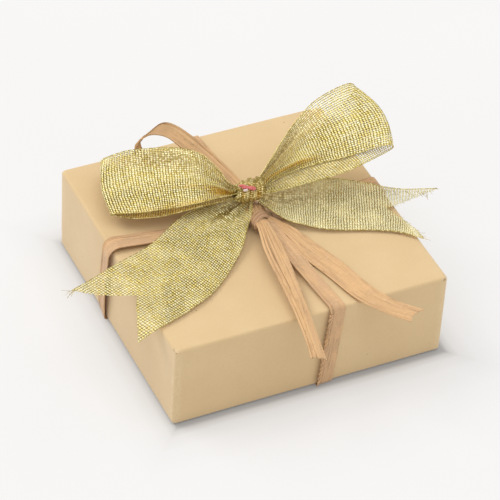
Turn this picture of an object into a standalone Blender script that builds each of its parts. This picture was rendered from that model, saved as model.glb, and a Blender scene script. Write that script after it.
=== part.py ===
"""Gift box: a square set-up box with a full-depth lift-off lid, tied with raffia and a gold mesh bow.

+X runs to the right along the front edge, +Y to the back and +Z up. The origin is the centre of the
underside. The lid, its raffia ties and the bow lift off together, and a velvet pad lies loose in the tray.
"""

import math

import bmesh
import bpy
from mathutils import Matrix, Vector

MM = 0.001

# Driving dimensions
BOX_SIDE = 90 * MM
BOX_HEIGHT = 30 * MM
RIM_HEIGHT = 1.0 * MM          # how far the lid's rim stays above the table
BOARD = 1.4 * MM               # chipboard of the lid and the tray
PAPER = 0.25 * MM              # kraft paper that covers both
STAY = 0.2 * MM                # paper tape on the corners of the board
GAP = 0.3 * MM                 # air left between neighbouring pieces
TURN_IN = 8 * MM               # paper folded round a rim
TOP_ROUND = 1.0 * MM           # rounding of the lid's top edges
CORNER_ROUND = 1.2 * MM        # rounding of its upright corners
SEAT_GAP = 0.45 * MM           # tray's rim to the lid's underside

PAD_SIDE = 75.2 * MM
FOAM_HEIGHT = 10 * MM
VELVET = 0.4 * MM

RAFFIA_WIDTH = 6.6 * MM
RAFFIA = 0.3 * MM
GOLD = 0.4 * MM
THREAD = 0.7 * MM

NOTCH_REACH = 0.3              # share of a tail over which its V cut shortens the rows
TURN_SPREAD = 0.14             # share of a loop over which its far turn bows out

# Half widths and heights that follow, from the outside in
LID_OUT = BOX_SIDE / 2
LID_BOARD_OUT = LID_OUT - PAPER - GAP - STAY - GAP
LID_BOARD_IN = LID_BOARD_OUT - BOARD
LID_FOLD_IN = LID_BOARD_IN - GAP - PAPER
LID_CEILING = BOX_HEIGHT - PAPER - GAP - BOARD
TUCK_FACE = LID_FOLD_IN - GAP - RAFFIA
TRAY_OUT = TUCK_FACE - GAP
TRAY_BOARD_OUT = TRAY_OUT - PAPER - GAP - STAY - GAP
TRAY_BOARD_IN = TRAY_BOARD_OUT - BOARD
TRAY_FOLD_IN = TRAY_BOARD_IN - GAP - PAPER
TRAY_RIM = LID_CEILING - SEAT_GAP
TRAY_FLOOR = PAPER + GAP + BOARD

# Knots
RAFFIA_KNOT = Vector((3.0, 0.4, 33.5)) * MM
RAFFIA_KNOT_SIZE = Vector((3.2, 2.6, 2.2)) * MM
RAFFIA_WRAP = Vector((2.7, -3.3, 33.3)) * MM
RAFFIA_WRAP_SIZE = Vector((2.7, 0.8, 1.7)) * MM
GOLD_KNOT = Vector((0.4, 4.2, 39.6)) * MM
GOLD_KNOT_SIZE = Vector((4.4, 3.9, 3.1)) * MM

COLOURS = {
    "kraft_paper": ((0.72, 0.54, 0.31), 0.8, 0.0),
    "grey_board": ((0.40, 0.36, 0.30), 0.9, 0.0),
    "stay_paper": ((0.62, 0.48, 0.30), 0.8, 0.0),
    "pad_foam": ((0.80, 0.78, 0.72), 0.9, 0.0),
    "cream_velvet": ((0.80, 0.74, 0.62), 1.0, 0.0),
    "raffia": ((0.66, 0.42, 0.22), 0.6, 0.0),
    "gold_mesh": ((0.83, 0.70, 0.28), 0.35, 0.8),
    "red_thread": ((0.70, 0.12, 0.13), 0.7, 0.0),
}


def clear_scene():
    """Removes every object that is there."""
    for old in list(bpy.data.objects):
        bpy.data.objects.remove(old, do_unlink=True)


def material(slot):
    """The named material, made on first use."""
    if slot in bpy.data.materials:
        return bpy.data.materials[slot]
    colour, roughness, metallic = COLOURS[slot]
    made = bpy.data.materials.new(slot)
    made.use_nodes = True
    shader = made.node_tree.nodes["Principled BSDF"]
    shader.inputs["Base Color"].default_value = (*colour, 1.0)
    shader.inputs["Roughness"].default_value = roughness
    shader.inputs["Metallic"].default_value = metallic
    return made


def add_object(name, shape, slot, parent):
    """Turns a bmesh into a named object under its body's empty, shaded smooth up to sharp edges."""
    bmesh.ops.recalc_face_normals(shape, faces=shape.faces)
    mesh = bpy.data.meshes.new(name)
    shape.to_mesh(mesh)
    shape.free()
    mesh.shade_smooth()
    mesh.set_sharp_from_angle(angle=math.radians(40))
    mesh.materials.append(material(slot))
    made = bpy.data.objects.new(name, mesh)
    bpy.context.scene.collection.objects.link(made)
    made.parent = parent
    return made


def add_body(name):
    """An empty at the origin that carries one rigid body; its slide runs along +Z."""
    body = bpy.data.objects.new(name, None)
    bpy.context.scene.collection.objects.link(body)
    return body


def square_ring(half, height, radius, steps=3):
    """Points round a level square with rounded corners."""
    ring = []
    for quarter in range(4):
        turn = Matrix.Rotation(math.radians(90 * quarter), 3, "Z")
        centre = Vector((half - radius, half - radius, height))
        for step in range(steps + 1):
            angle = math.radians(90) * step / steps
            outward = Vector((math.cos(angle), math.sin(angle), 0.0)) * radius
            ring.append(turn @ (centre + outward))
    return ring


def loft(rings):
    """A closed body through the rings in order, with a flat cap on the first and the last."""
    shape = bmesh.new()
    rows = [[shape.verts.new(point) for point in ring] for ring in rings]
    for low, high in zip(rows, rows[1:]):
        for i in range(len(low)):
            j = (i + 1) % len(low)
            shape.faces.new((low[i], low[j], high[j], high[i]))
    shape.faces.new(rows[0])
    shape.faces.new(rows[-1])
    return shape


def rounded_rim_rings(half, top, edge, radius, steps=3):
    """Rings that round the edge between a flat top and upright walls."""
    rings = []
    for step in range(steps + 1):
        angle = math.radians(90) * step / steps
        inset = edge * (1 - math.sin(angle))
        drop = edge * (1 - math.cos(angle))
        rings.append(square_ring(half - inset, top - drop, radius))
    return rings


def make_lid_wrap(body):
    """Paper over the lid: top, walls, rim and the strip that folds up inside."""
    fold_top = RIM_HEIGHT + TURN_IN
    rings = rounded_rim_rings(LID_OUT, BOX_HEIGHT, TOP_ROUND, CORNER_ROUND)
    rings += [
        square_ring(LID_OUT, RIM_HEIGHT, CORNER_ROUND),
        square_ring(LID_FOLD_IN, RIM_HEIGHT, CORNER_ROUND / 2),
        square_ring(LID_FOLD_IN, fold_top, CORNER_ROUND / 2),
        square_ring(LID_FOLD_IN + PAPER, fold_top, CORNER_ROUND / 2),
        square_ring(LID_FOLD_IN + PAPER, RIM_HEIGHT + PAPER, CORNER_ROUND / 2),
    ]
    inside = rounded_rim_rings(
        LID_OUT - PAPER, BOX_HEIGHT - PAPER, TOP_ROUND - PAPER, CORNER_ROUND - PAPER
    )
    rings.append(square_ring(LID_OUT - PAPER, RIM_HEIGHT + PAPER, CORNER_ROUND - PAPER))
    rings += reversed(inside)
    return add_object("lid_wrap", loft(rings), "kraft_paper", body)


def make_lid_board(body):
    """Chipboard shell of the lid, open below."""
    low = RIM_HEIGHT + PAPER + GAP
    top = BOX_HEIGHT - PAPER - GAP
    rings = [
        square_ring(LID_BOARD_OUT, top, CORNER_ROUND / 2),
        square_ring(LID_BOARD_OUT, low, CORNER_ROUND / 2),
        square_ring(LID_BOARD_IN, low, CORNER_ROUND / 4),
        square_ring(LID_BOARD_IN, LID_CEILING, CORNER_ROUND / 4),
    ]
    return add_object("lid_board", loft(rings), "grey_board", body)


def make_tray_wrap(body):
    """Paper under and round the tray, folded over its rim and down inside."""
    fold_low = TRAY_RIM - TURN_IN
    rings = [
        square_ring(TRAY_OUT - TOP_ROUND / 2, 0.0, CORNER_ROUND),
        square_ring(TRAY_OUT, TOP_ROUND / 2, CORNER_ROUND),
        square_ring(TRAY_OUT, TRAY_RIM, CORNER_ROUND),
        square_ring(TRAY_FOLD_IN, TRAY_RIM, CORNER_ROUND / 2),
        square_ring(TRAY_FOLD_IN, fold_low, CORNER_ROUND / 2),
        square_ring(TRAY_FOLD_IN + PAPER, fold_low, CORNER_ROUND / 2),
        square_ring(TRAY_FOLD_IN + PAPER, TRAY_RIM - PAPER, CORNER_ROUND / 2),
        square_ring(TRAY_OUT - PAPER, TRAY_RIM - PAPER, CORNER_ROUND - PAPER),
        square_ring(TRAY_OUT - PAPER, TOP_ROUND / 2, CORNER_ROUND - PAPER),
        square_ring(TRAY_OUT - TOP_ROUND / 2, PAPER, CORNER_ROUND - PAPER),
    ]
    return add_object("tray_wrap", loft(rings), "kraft_paper", body)


def make_tray_board(body):
    """Chipboard shell of the tray, open above."""
    rim = TRAY_RIM - PAPER - GAP
    low = PAPER + GAP
    rings = [
        square_ring(TRAY_BOARD_OUT, low, CORNER_ROUND / 2),
        square_ring(TRAY_BOARD_OUT, rim, CORNER_ROUND / 2),
        square_ring(TRAY_BOARD_IN, rim, CORNER_ROUND / 4),
        square_ring(TRAY_BOARD_IN, TRAY_FLOOR, CORNER_ROUND / 4),
    ]
    return add_object("tray_board", loft(rings), "grey_board", body)


def make_stays(prefix, board_half, low, high, body):
    """Four L-shaped strips of paper tape, one folded round each upright corner of a board."""
    leg = 12 * MM
    cut = 0.5 * MM
    face = board_half + GAP
    back = face + STAY
    corners = {"back_right": 0, "back_left": 90, "front_left": 180, "front_right": 270}
    for place, angle in corners.items():
        turn = Matrix.Rotation(math.radians(angle), 4, "Z")
        outline = [
            (face - leg, face),
            (face - cut, face),
            (face, face - cut),
            (face, face - leg),
            (back, face - leg),
            (back, back - cut),
            (back - cut, back),
            (face - leg, back),
        ]
        shape = bmesh.new()
        base = [shape.verts.new((x, y, low)) for x, y in outline]
        side = shape.faces.new(base)
        grown = bmesh.ops.extrude_face_region(shape, geom=[side])
        moved = [item for item in grown["geom"] if isinstance(item, bmesh.types.BMVert)]
        bmesh.ops.translate(shape, verts=moved, vec=(0, 0, high - low))
        bmesh.ops.transform(shape, matrix=turn, verts=shape.verts)
        add_object(f"{prefix}_stay_{place}", shape, "stay_paper", body)


def make_pad(body):
    """Foam block with a velvet cover over its top and sides."""
    half = PAD_SIDE / 2
    low = TRAY_FLOOR + GAP
    foam_top = low + FOAM_HEIGHT
    foam_half = half - VELVET - GAP
    foam = [
        square_ring(foam_half, low, CORNER_ROUND),
        square_ring(foam_half, foam_top, CORNER_ROUND),
    ]
    add_object("pad_foam", loft(foam), "pad_foam", body)
    top = foam_top + GAP + VELVET
    cover = rounded_rim_rings(half, top, TOP_ROUND, CORNER_ROUND, steps=2)
    cover += [
        square_ring(half, low, CORNER_ROUND),
        square_ring(half - VELVET, low, CORNER_ROUND),
        square_ring(half - VELVET, top - VELVET, CORNER_ROUND),
    ]
    add_object("pad_velvet", loft(cover), "cream_velvet", body)


def smooth(points, steps):
    """Points on a Catmull-Rom curve through the given points, with that many steps from each to the next."""
    padded = [points[0] * 2 - points[1], *points, points[-1] * 2 - points[-2]]
    curve = []
    for before, start, end, after in zip(padded, padded[1:], padded[2:], padded[3:]):
        for step in range(steps):
            t = step / steps
            curve.append(
                0.5
                * (
                    2 * start
                    + (end - before) * t
                    + (2 * before - 5 * start + 4 * end - after) * t**2
                    + (3 * start - before - 3 * end + after) * t**3
                )
            )
    curve.append(points[-1])
    return curve


def millimetres(points):
    """Vectors in metres from a list written in millimetres."""
    return [Vector(point) * MM for point in points]


def directions(headings):
    """Vectors of any length, of which only the heading counts."""
    return [Vector(heading) for heading in headings]


def make_strip(name, edges, thickness, slot, body, across=4, notch=0.0, swell=None):
    """A closed strip between two edge curves.

    A notch cuts a V of that share of its length in its end. A swell is how far the middle of the strip
    bows out half way along, where a loop turns back.
    """
    first, second = edges
    last = len(first) - 1
    uncut = (1 - NOTCH_REACH) * last
    shape = bmesh.new()
    rows = []
    for i in range(last + 1):
        row = []
        for j in range(across + 1):
            t = j / across
            cut = notch / NOTCH_REACH * (1 - abs(2 * t - 1))
            reach = i - max(i - uncut, 0) * cut
            k = min(int(reach), last - 1)
            a = first[k].lerp(first[k + 1], reach - k)
            b = second[k].lerp(second[k + 1], reach - k)
            point = a.lerp(b, t)
            if swell is not None:
                turn = math.exp(-(((i / last - 0.5) / TURN_SPREAD) ** 2))
                point += swell * turn * math.sin(math.pi * t)
            row.append(shape.verts.new(point))
        rows.append(row)
    for low, high in zip(rows, rows[1:]):
        for j in range(across):
            shape.faces.new((low[j], low[j + 1], high[j + 1], high[j]))
    made = add_object(name, shape, slot, body)
    solid = made.modifiers.new("Thickness", "SOLIDIFY")
    solid.thickness = thickness
    solid.offset = 0.0
    return made


def band_edges(centre, sides, widths):
    """Both edges of a band from its centre line, and its direction across and width at each point."""
    left = [c - s.normalized() * w / 2 for c, s, w in zip(centre, sides, widths)]
    right = [c + s.normalized() * w / 2 for c, s, w in zip(centre, sides, widths)]
    return left, right


def make_band(name, centre, sides, widths, steps, body):
    """A flat raffia band of changing width, with that many steps between its points."""
    left, right = band_edges(centre, sides, widths)
    edges = (smooth(left, steps), smooth(right, steps))
    make_strip(name, edges, RAFFIA, "raffia", body, across=2)


def make_straps(body):
    """Four raffia stretches from the knot over the lid's edges, with ends tucked up inside the rim."""
    # name: outward axis, sideways places at the knot, the top edge and the rim (mm), first distance (mm)
    routes = {
        "left": (Vector((-1, 0, 0)), 1.2, 5.4, 9.2, 1.4),
        "right": (Vector((1, 0, 0)), 0.6, 2.4, 1.0, 7.2),
        "front": (Vector((0, -1, 0)), 3.6, 8.2, 5.8, 5.2),
        "back": (Vector((0, 1, 0)), 2.6, -1.5, -2.6, 4.6),
    }
    lift = GAP + RAFFIA / 2
    bend = TOP_ROUND + lift
    for place, (outward, at_knot, at_edge, at_rim, start) in routes.items():
        sideways = Vector((abs(outward.y), abs(outward.x), 0))
        profile = [(start * MM, BOX_HEIGHT + lift, at_knot)]
        for share in (0.25, 0.5, 0.75):
            reach = start * MM + share * (LID_OUT - TOP_ROUND - start * MM)
            profile.append((reach, BOX_HEIGHT + lift, at_knot + share * (at_edge - at_knot)))
        for step in range(4):
            angle = math.radians(30 * step)
            reach = LID_OUT - TOP_ROUND + bend * math.sin(angle)
            height = BOX_HEIGHT - TOP_ROUND + bend * math.cos(angle)
            profile.append((reach, height, at_edge))
        middle = (at_edge + at_rim) / 2
        profile.append((LID_OUT + lift, BOX_HEIGHT / 2, middle))
        profile.append((LID_OUT + lift, RIM_HEIGHT, at_rim))
        profile.append((LID_OUT + lift * 0.6, RIM_HEIGHT - lift * 0.7, at_rim))
        profile.append((LID_OUT - lift * 0.2, RIM_HEIGHT - lift, at_rim))
        profile.append((LID_FOLD_IN + lift * 0.2, RIM_HEIGHT - lift, at_rim))
        profile.append((LID_FOLD_IN - lift * 0.6, RIM_HEIGHT - lift * 0.7, at_rim))
        profile.append((LID_FOLD_IN - lift, RIM_HEIGHT, at_rim))
        profile.append((LID_FOLD_IN - lift, RIM_HEIGHT + TURN_IN * 0.8, at_rim))
        centre = [
            outward * reach + sideways * side * MM + Vector((0, 0, height))
            for reach, height, side in profile
        ]
        count = len(centre)
        edges = band_edges(centre, [sideways] * count, [RAFFIA_WIDTH] * count)
        make_strip(f"raffia_strap_{place}", edges, RAFFIA, "raffia", body, across=2)


def make_lump(name, centre, size, slot, body, lobes, depth):
    """A knot: a rounded body with grooves that run along X."""
    shape = bmesh.new()
    bmesh.ops.create_uvsphere(shape, u_segments=20, v_segments=10, radius=1.0)
    for vert in shape.verts:
        around = math.atan2(vert.co.z, vert.co.y)
        swell = 1.0 - depth * 0.5 * (1 + math.cos(lobes * around))
        vert.co.y *= swell
        vert.co.z *= swell
    bmesh.ops.scale(shape, verts=shape.verts, vec=size)
    bmesh.ops.translate(shape, verts=shape.verts, vec=centre)
    return add_object(name, shape, slot, body)


def make_raffia_knot(body):
    """The knot that ties the straps, and the wrap that gathers the two tails in front of it."""
    make_lump("raffia_knot", RAFFIA_KNOT, RAFFIA_KNOT_SIZE, "raffia", body, 5, 0.12)
    make_lump("raffia_knot_wrap", RAFFIA_WRAP, RAFFIA_WRAP_SIZE, "raffia", body, 3, 0.10)


def make_raffia_ends(body):
    """The single bow loop to the back left, and the two cut tails to the front and the right."""
    front = millimetres(
        [(1.4, -4.6, 33.3), (0.3, -10, 33.9), (-1.3, -18, 34.0), (-2.8, -29.5, 33.3)]
        + [(-4.6, -42, 32.4), (-5.8, -52.5, 30.8), (-6.6, -61.3, 28.2)]
    )
    front_sides = [Vector((1.0, 0.15, 0.0))] * len(front)
    front_widths = [width * MM for width in (2.2, 4.8, 6.4, 6.6, 6.4, 6.0, 5.6)]
    make_band("raffia_tail_front", front, front_sides, front_widths, 4, body)
    right = millimetres(
        [(4.1, -4.6, 33.3), (6.0, -11.6, 34.2), (8.7, -20, 34.2), (11.6, -32, 33.8)]
        + [(16.0, -44.4, 33.0), (22.0, -51.6, 31.6), (28.2, -57.2, 30.2)]
    )
    right_sides = directions(
        [(1, 0.1, 0), (1, 0.25, 0), (1, 0.3, 0.05), (0.95, 0.35, 0.1)]
        + [(0.85, 0.5, 0.1), (0.76, 0.64, 0), (0.8, 0.6, 0)]
    )
    right_widths = [width * MM for width in (2.2, 4.8, 6.2, 6.8, 6.8, 6.8, 6.8)]
    make_band("raffia_tail_right", right, right_sides, right_widths, 4, body)
    loop = millimetres(
        [(2.0, 4.0, 35.2), (1.4, 9.5, 35.0), (1.0, 14, 36.2), (-2.0, 20, 38.6), (-5.4, 25.5, 41.6)]
        + [(-9.4, 29.4, 44.4), (-13.0, 32.8, 45.8), (-16.2, 35.4, 45.2), (-19.0, 37.2, 42.4)]
        + [(-20.8, 37.4, 38.6), (-20.4, 34.6, 34.8), (-16.4, 26, 32.6), (-8.4, 12.4, 31.9), (-2.0, 5.0, 31.8)]
    )
    loop_sides = directions(
        [(1, 0.2, 0), (1, 0.3, 0), (1, 0.4, 0), (0.9, 0.5, 0), (0.85, 0.55, 0)]
        + [(0.8, 0.6, 0.1), (0.75, 0.65, 0.15), (0.7, 0.6, 0.4), (0.6, 0.3, 0.7)]
        + [(0.8, 0.2, 0.4), (0.85, 0.5, 0.1), (0.85, 0.5, 0), (0.8, 0.55, 0), (0.75, 0.65, 0)]
    )
    widths = (2.4, 4.4, 5.6, 6.2, 6.4, 6.4, 6.2, 5.6, 4.2, 4.2, 5.4, 6.0, 5.2, 3.6)
    loop_widths = [width * MM for width in widths]
    make_band("raffia_loop", loop, loop_sides, loop_widths, 3, body)


def make_gold_loops(body):
    """The bow's two loops: each leaves the knot as the upper layer, turns and comes back underneath."""
    left_back = millimetres(
        [(-4.6, 6.6, 41.2), (-5.2, 12.6, 42.8), (-8.2, 21.4, 43.5), (-15.4, 28.3, 43.0)]
        + [(-26.5, 33.8, 41.2), (-33.6, 35.4, 39.0), (-35.4, 35.4, 37.4), (-33.8, 34.6, 36.2)]
        + [(-25.0, 31.0, 35.6), (-14.5, 24.5, 36.2), (-7.5, 14.5, 37.4), (-4.6, 6.6, 38.4)]
    )
    left_front = millimetres(
        [(-4.6, 3.4, 40.0), (-7.6, 4.6, 38.9), (-13.0, 6.0, 38.0), (-22.2, 7.6, 37.2)]
        + [(-32.4, 9.8, 36.6), (-39.8, 12.8, 36.0), (-41.3, 13.8, 35.0), (-40.4, 13.6, 33.9)]
        + [(-33.8, 10.4, 33.8), (-26.2, 8.4, 34.4), (-14.0, 6.4, 36.0), (-4.6, 3.6, 37.6)]
    )
    edges = (smooth(left_back, 3), smooth(left_front, 3))
    swell = Vector((-1.7, 0.0, 0.3)) * MM
    make_strip("gold_loop_left", edges, GOLD, "gold_mesh", body, swell=swell)
    right_back = millimetres(
        [(5.4, 6.6, 41.2), (9.8, 10.0, 43.4), (18.1, 16.2, 47.0), (24.9, 20.2, 50.0)]
        + [(31.0, 22.0, 53.2), (39.6, 21.8, 56.6), (43.4, 21.2, 56.6), (42.4, 20.2, 53.4)]
        + [(35.0, 18.0, 48.6), (25.0, 14.4, 44.4), (14.0, 10.0, 41.0), (5.4, 6.6, 38.6)]
    )
    right_front = millimetres(
        [(5.4, 3.2, 40.8), (9.8, 4.6, 41.6), (18.1, 5.0, 42.5), (25.0, 3.6, 43.7)]
        + [(32.0, 1.7, 45.2), (42.6, -0.8, 48.2), (46.2, -1.4, 47.8), (45.6, -0.9, 45.8)]
        + [(39.9, 0.2, 42.6), (31.0, 0.4, 40.2), (17.4, 2.9, 38.2), (5.4, 3.6, 37.8)]
    )
    edges = (smooth(right_back, 3), smooth(right_front, 3))
    swell = Vector((3.0, -1.4, 1.2)) * MM
    make_strip("gold_loop_right", edges, GOLD, "gold_mesh", body, swell=swell)


def make_gold_tails(body):
    """The bow's two tails, cut to a V at their ends."""
    left_back = millimetres(
        [(-2.8, 3.0, 35.9), (-9.0, 7.4, 34.0), (-19.0, 7.6, 33.2), (-34.6, -1.2, 33.2)]
        + [(-46.0, -5.1, 33.2), (-57.5, -9.4, 33.4), (-64.1, -11.4, 33.0)]
    )
    left_front = millimetres(
        [(-0.8, 0.6, 35.9), (-4.4, -4.4, 33.8), (-10.4, -13.6, 31.9), (-23.6, -25.2, 31.0)]
        + [(-34.2, -30.6, 31.0), (-44.6, -34.0, 31.0), (-53.4, -36.4, 29.4)]
    )
    edges = (smooth(left_back, 4), smooth(left_front, 4))
    make_strip("gold_tail_left", edges, GOLD, "gold_mesh", body, notch=0.16)
    right_back = millimetres(
        [(5.2, 3.6, 36.2), (11.0, 6.6, 35.4), (19.2, 6.4, 35.4), (29.1, 5.2, 34.8)]
        + [(40.0, 1.4, 32.6), (49.4, -3.2, 31.3), (61.3, -6.4, 30.4)]
    )
    right_front = millimetres(
        [(5.8, 0.6, 36.2), (8.8, -3.4, 34.4), (12.6, -8.6, 32.4), (20.5, -13.0, 31.2)]
        + [(32.0, -17.5, 31.0), (39.6, -21.5, 31.0), (45.6, -27.4, 31.0)]
    )
    edges = (smooth(right_back, 4), smooth(right_front, 4))
    make_strip("gold_tail_right", edges, GOLD, "gold_mesh", body, notch=0.2)


def make_gold_knot(body):
    """The wrap round the bow's waist, and the bit of red thread that ties it on."""
    make_lump("gold_knot", GOLD_KNOT, GOLD_KNOT_SIZE, "gold_mesh", body, 7, 0.10)
    reach = GOLD_KNOT_SIZE + Vector((1, 1, 1)) * (GAP + THREAD / 2)
    headings = directions(
        [(-0.80, -0.45, 0.50), (-0.50, -0.55, 0.68), (-0.15, -0.62, 0.76), (0.25, -0.66, 0.72)]
    )
    curve = bpy.data.curves.new("bow_thread", "CURVE")
    curve.dimensions = "3D"
    curve.bevel_depth = THREAD / 2
    curve.bevel_resolution = 2
    curve.use_fill_caps = True
    spline = curve.splines.new("POLY")
    path = smooth([heading.normalized() * reach + GOLD_KNOT for heading in headings], 3)
    spline.points.add(len(path) - 1)
    for place, point in zip(spline.points, path):
        place.co = (*point, 1.0)
    curve.materials.append(material("red_thread"))
    thread = bpy.data.objects.new("bow_thread", curve)
    bpy.context.scene.collection.objects.link(thread)
    thread.parent = body


def main():
    clear_scene()
    tray = add_body("tray_body")
    lid = add_body("lid_body")
    pad = add_body("pad_body")
    make_tray_wrap(tray)
    make_tray_board(tray)
    make_stays("tray", TRAY_BOARD_OUT, 3 * MM, 24 * MM, tray)
    make_pad(pad)
    make_lid_wrap(lid)
    make_lid_board(lid)
    make_stays("lid", LID_BOARD_OUT, 4 * MM, 27 * MM, lid)
    make_straps(lid)
    make_raffia_knot(lid)
    make_raffia_ends(lid)
    make_gold_loops(lid)
    make_gold_tails(lid)
    make_gold_knot(lid)


main()
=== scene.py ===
"""Looks of the gift box: kraft paper, raffia ties and a bow of gold mesh ribbon.

The frame has +X to the right along the front edge, +Y to the back and +Z up, with its origin at the
centre of the box's underside. Lengths in lists of points are in millimetres, and all others in metres.
"""

import math

import bpy
import numpy as np
from mathutils import Matrix, Vector, noise


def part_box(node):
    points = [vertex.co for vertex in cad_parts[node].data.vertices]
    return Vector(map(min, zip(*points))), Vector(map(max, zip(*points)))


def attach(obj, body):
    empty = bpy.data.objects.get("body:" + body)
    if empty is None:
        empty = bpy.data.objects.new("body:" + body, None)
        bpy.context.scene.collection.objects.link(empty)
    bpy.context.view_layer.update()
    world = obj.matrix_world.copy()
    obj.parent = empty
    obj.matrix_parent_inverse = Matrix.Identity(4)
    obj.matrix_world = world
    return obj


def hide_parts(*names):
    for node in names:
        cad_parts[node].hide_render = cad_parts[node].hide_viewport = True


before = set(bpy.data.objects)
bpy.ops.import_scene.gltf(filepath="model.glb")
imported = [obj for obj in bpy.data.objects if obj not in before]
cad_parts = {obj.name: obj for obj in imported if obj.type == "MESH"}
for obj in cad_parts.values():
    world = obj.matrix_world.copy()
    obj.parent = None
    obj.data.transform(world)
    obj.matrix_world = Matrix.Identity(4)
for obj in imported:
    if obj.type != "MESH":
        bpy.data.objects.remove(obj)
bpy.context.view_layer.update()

MM = 0.001
BODY = "lid"

# Camera
AIM = Vector((0.94, 1.68, 17.22)) * MM
DISTANCE = 904.5 * MM
AZIMUTH = math.radians(-27.09)
ELEVATION = math.radians(40.95)
ROLL = math.radians(3.665)
LENS = 209.4

# Box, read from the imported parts
BOX_LOW, BOX_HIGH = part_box("lid_wrap")
HALF = BOX_HIGH.x
TOP = BOX_HIGH.z
RIM = BOX_LOW.z
PAPER = 0.25 * MM
TOP_ROUND = 1.0 * MM
CORNER_ROUND = 1.2 * MM
BRINK_LOW = 28.2 * MM          # height from which the top corners are rubbed
BRINK_HIGH = 29.5 * MM         # height above which they are rubbed most
TURN_IN = 8 * MM
FOLD_IN = HALF - 3.0 * MM      # inside face of the paper folded up behind the rim

# Ribbon, raffia and thread
GOLD_WIDTH = 25 * MM
WEFT_PITCH = 0.82 * MM
WARP_PITCH = 0.76 * MM
RAFFIA_WIDTH = 6.6 * MM
RAFFIA = 0.3 * MM              # thickness
STRAP_GAP = 0.3 * MM           # between a strap and the lid
TWIST_PITCH = 4.2 * MM


# ---- curves and meshes

def smooth(points, steps):
    """Points on a Catmull-Rom curve through the given points, with that many steps from each to the next."""
    points = np.array(points, float)
    padded = np.vstack([2 * points[0] - points[1], points, 2 * points[-1] - points[-2]])
    t = np.linspace(0, 1, steps, endpoint=False)[:, None]
    rows = []
    for before, start, end, after in zip(padded, padded[1:], padded[2:], padded[3:]):
        square = (2 * before - 5 * start + 4 * end - after) * t**2
        cube = (3 * start - before - 3 * end + after) * t**3
        rows.append(0.5 * (2 * start + (end - before) * t + square + cube))
    rows.append(points[-1:])
    return np.vstack(rows)


def unit(vectors):
    """Vectors of length one."""
    return vectors / np.maximum(np.linalg.norm(vectors, axis=-1, keepdims=True), 1e-12)


def mm(values):
    """Lengths given in millimetres, in metres."""
    return np.array(values, float) * MM


def box_middle(node, shift=(0.0, 0.0, 0.0)):
    """The middle of a node's box, moved by a shift in millimetres, and half its size."""
    low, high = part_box(node)
    return (np.array(low) + np.array(high)) / 2 + mm(shift), (np.array(high) - np.array(low)) / 2


def run_along(points):
    """Distance along a grid of points, averaged over its columns."""
    steps = np.linalg.norm(np.diff(points, axis=0), axis=2).mean(axis=1)
    return np.concatenate([[0.0], np.cumsum(steps)])


def path_run(path):
    """Distance along a single line of points."""
    return run_along(path[:, None])


def surface_normals(points):
    """Unit normals of a grid of points."""
    along = np.gradient(points, axis=0)
    across = np.gradient(points, axis=1)
    return unit(np.cross(along, across))


def bell(values, centre, width):
    """One at the centre, falling smoothly to nothing either side."""
    return np.exp(-(((values - centre) / width) ** 2))


def fade(values, start, end):
    """Zero before start, one after end, and smooth between them."""
    share = np.clip((values - start) / (end - start), 0, 1)
    return share * share * (3 - 2 * share)


def wander(values, seed, scale, amount):
    """A smooth random line, the same each run."""
    return np.array([noise.noise(Vector((v * scale, seed * 7.3, 0.5))) * amount for v in np.ravel(values)])


def roughen(points, scale, amount, seed=0.0):
    """Smooth random shifts, one for each point of an array."""
    flat = points.reshape(-1, 3)
    shift = Vector((seed * 11.7, seed * 3.1, seed * 5.9))
    moved = [noise.noise(Vector(p) * scale + shift) * amount for p in flat]
    return np.array(moved).reshape(points.shape[:-1])


def grid_faces(rows, columns, start=0, flip=False):
    """Quads of a grid whose points are numbered row by row."""
    i, j = np.meshgrid(np.arange(rows - 1), np.arange(columns - 1), indexing="ij")
    a = start + i * columns + j
    quads = np.stack([a, a + 1, a + columns + 1, a + columns], axis=-1).reshape(-1, 4)
    return quads[:, ::-1] if flip else quads


def new_mesh(name, points, faces, material, uv=None, values=None, body=BODY):
    """A smooth mesh that rides on a body. uv has a pair for each point, values a list for each attribute."""
    mesh = bpy.data.meshes.new(name)
    mesh.from_pydata(points.reshape(-1, 3).tolist(), [], [list(map(int, face)) for face in faces])
    if uv is not None:
        layer = mesh.uv_layers.new(name="Cloth")
        corners = np.zeros(len(mesh.loops), np.int32)
        mesh.loops.foreach_get("vertex_index", corners)
        layer.data.foreach_set("uv", uv.reshape(-1, 2)[corners].astype(np.float32).ravel())
    for label, numbers in (values or {}).items():
        attribute = mesh.attributes.new(label, "FLOAT", "POINT")
        attribute.data.foreach_set("value", np.ravel(numbers).astype(np.float32))
    mesh.shade_smooth()
    mesh.materials.append(material)
    made = bpy.data.objects.new(name, mesh)
    bpy.context.scene.collection.objects.link(made)
    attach(made, body)
    return made


def tube_points(path, radius, sides):
    """Rings of points round a path, whose radius may change along it."""
    tangents = unit(np.gradient(path, axis=0))
    nearly_up = np.array((0.0, 0.0, 1.0)) + 1e-4
    side = unit(np.cross(tangents, nearly_up))
    up = np.cross(side, tangents)
    radii = np.broadcast_to(radius, (len(path),))[:, None, None]
    angles = np.linspace(0, 2 * math.pi, sides, endpoint=False)[None, :, None]
    ring = np.cos(angles) * side[:, None, :] + np.sin(angles) * up[:, None, :]
    return path[:, None, :] + ring * radii


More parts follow.
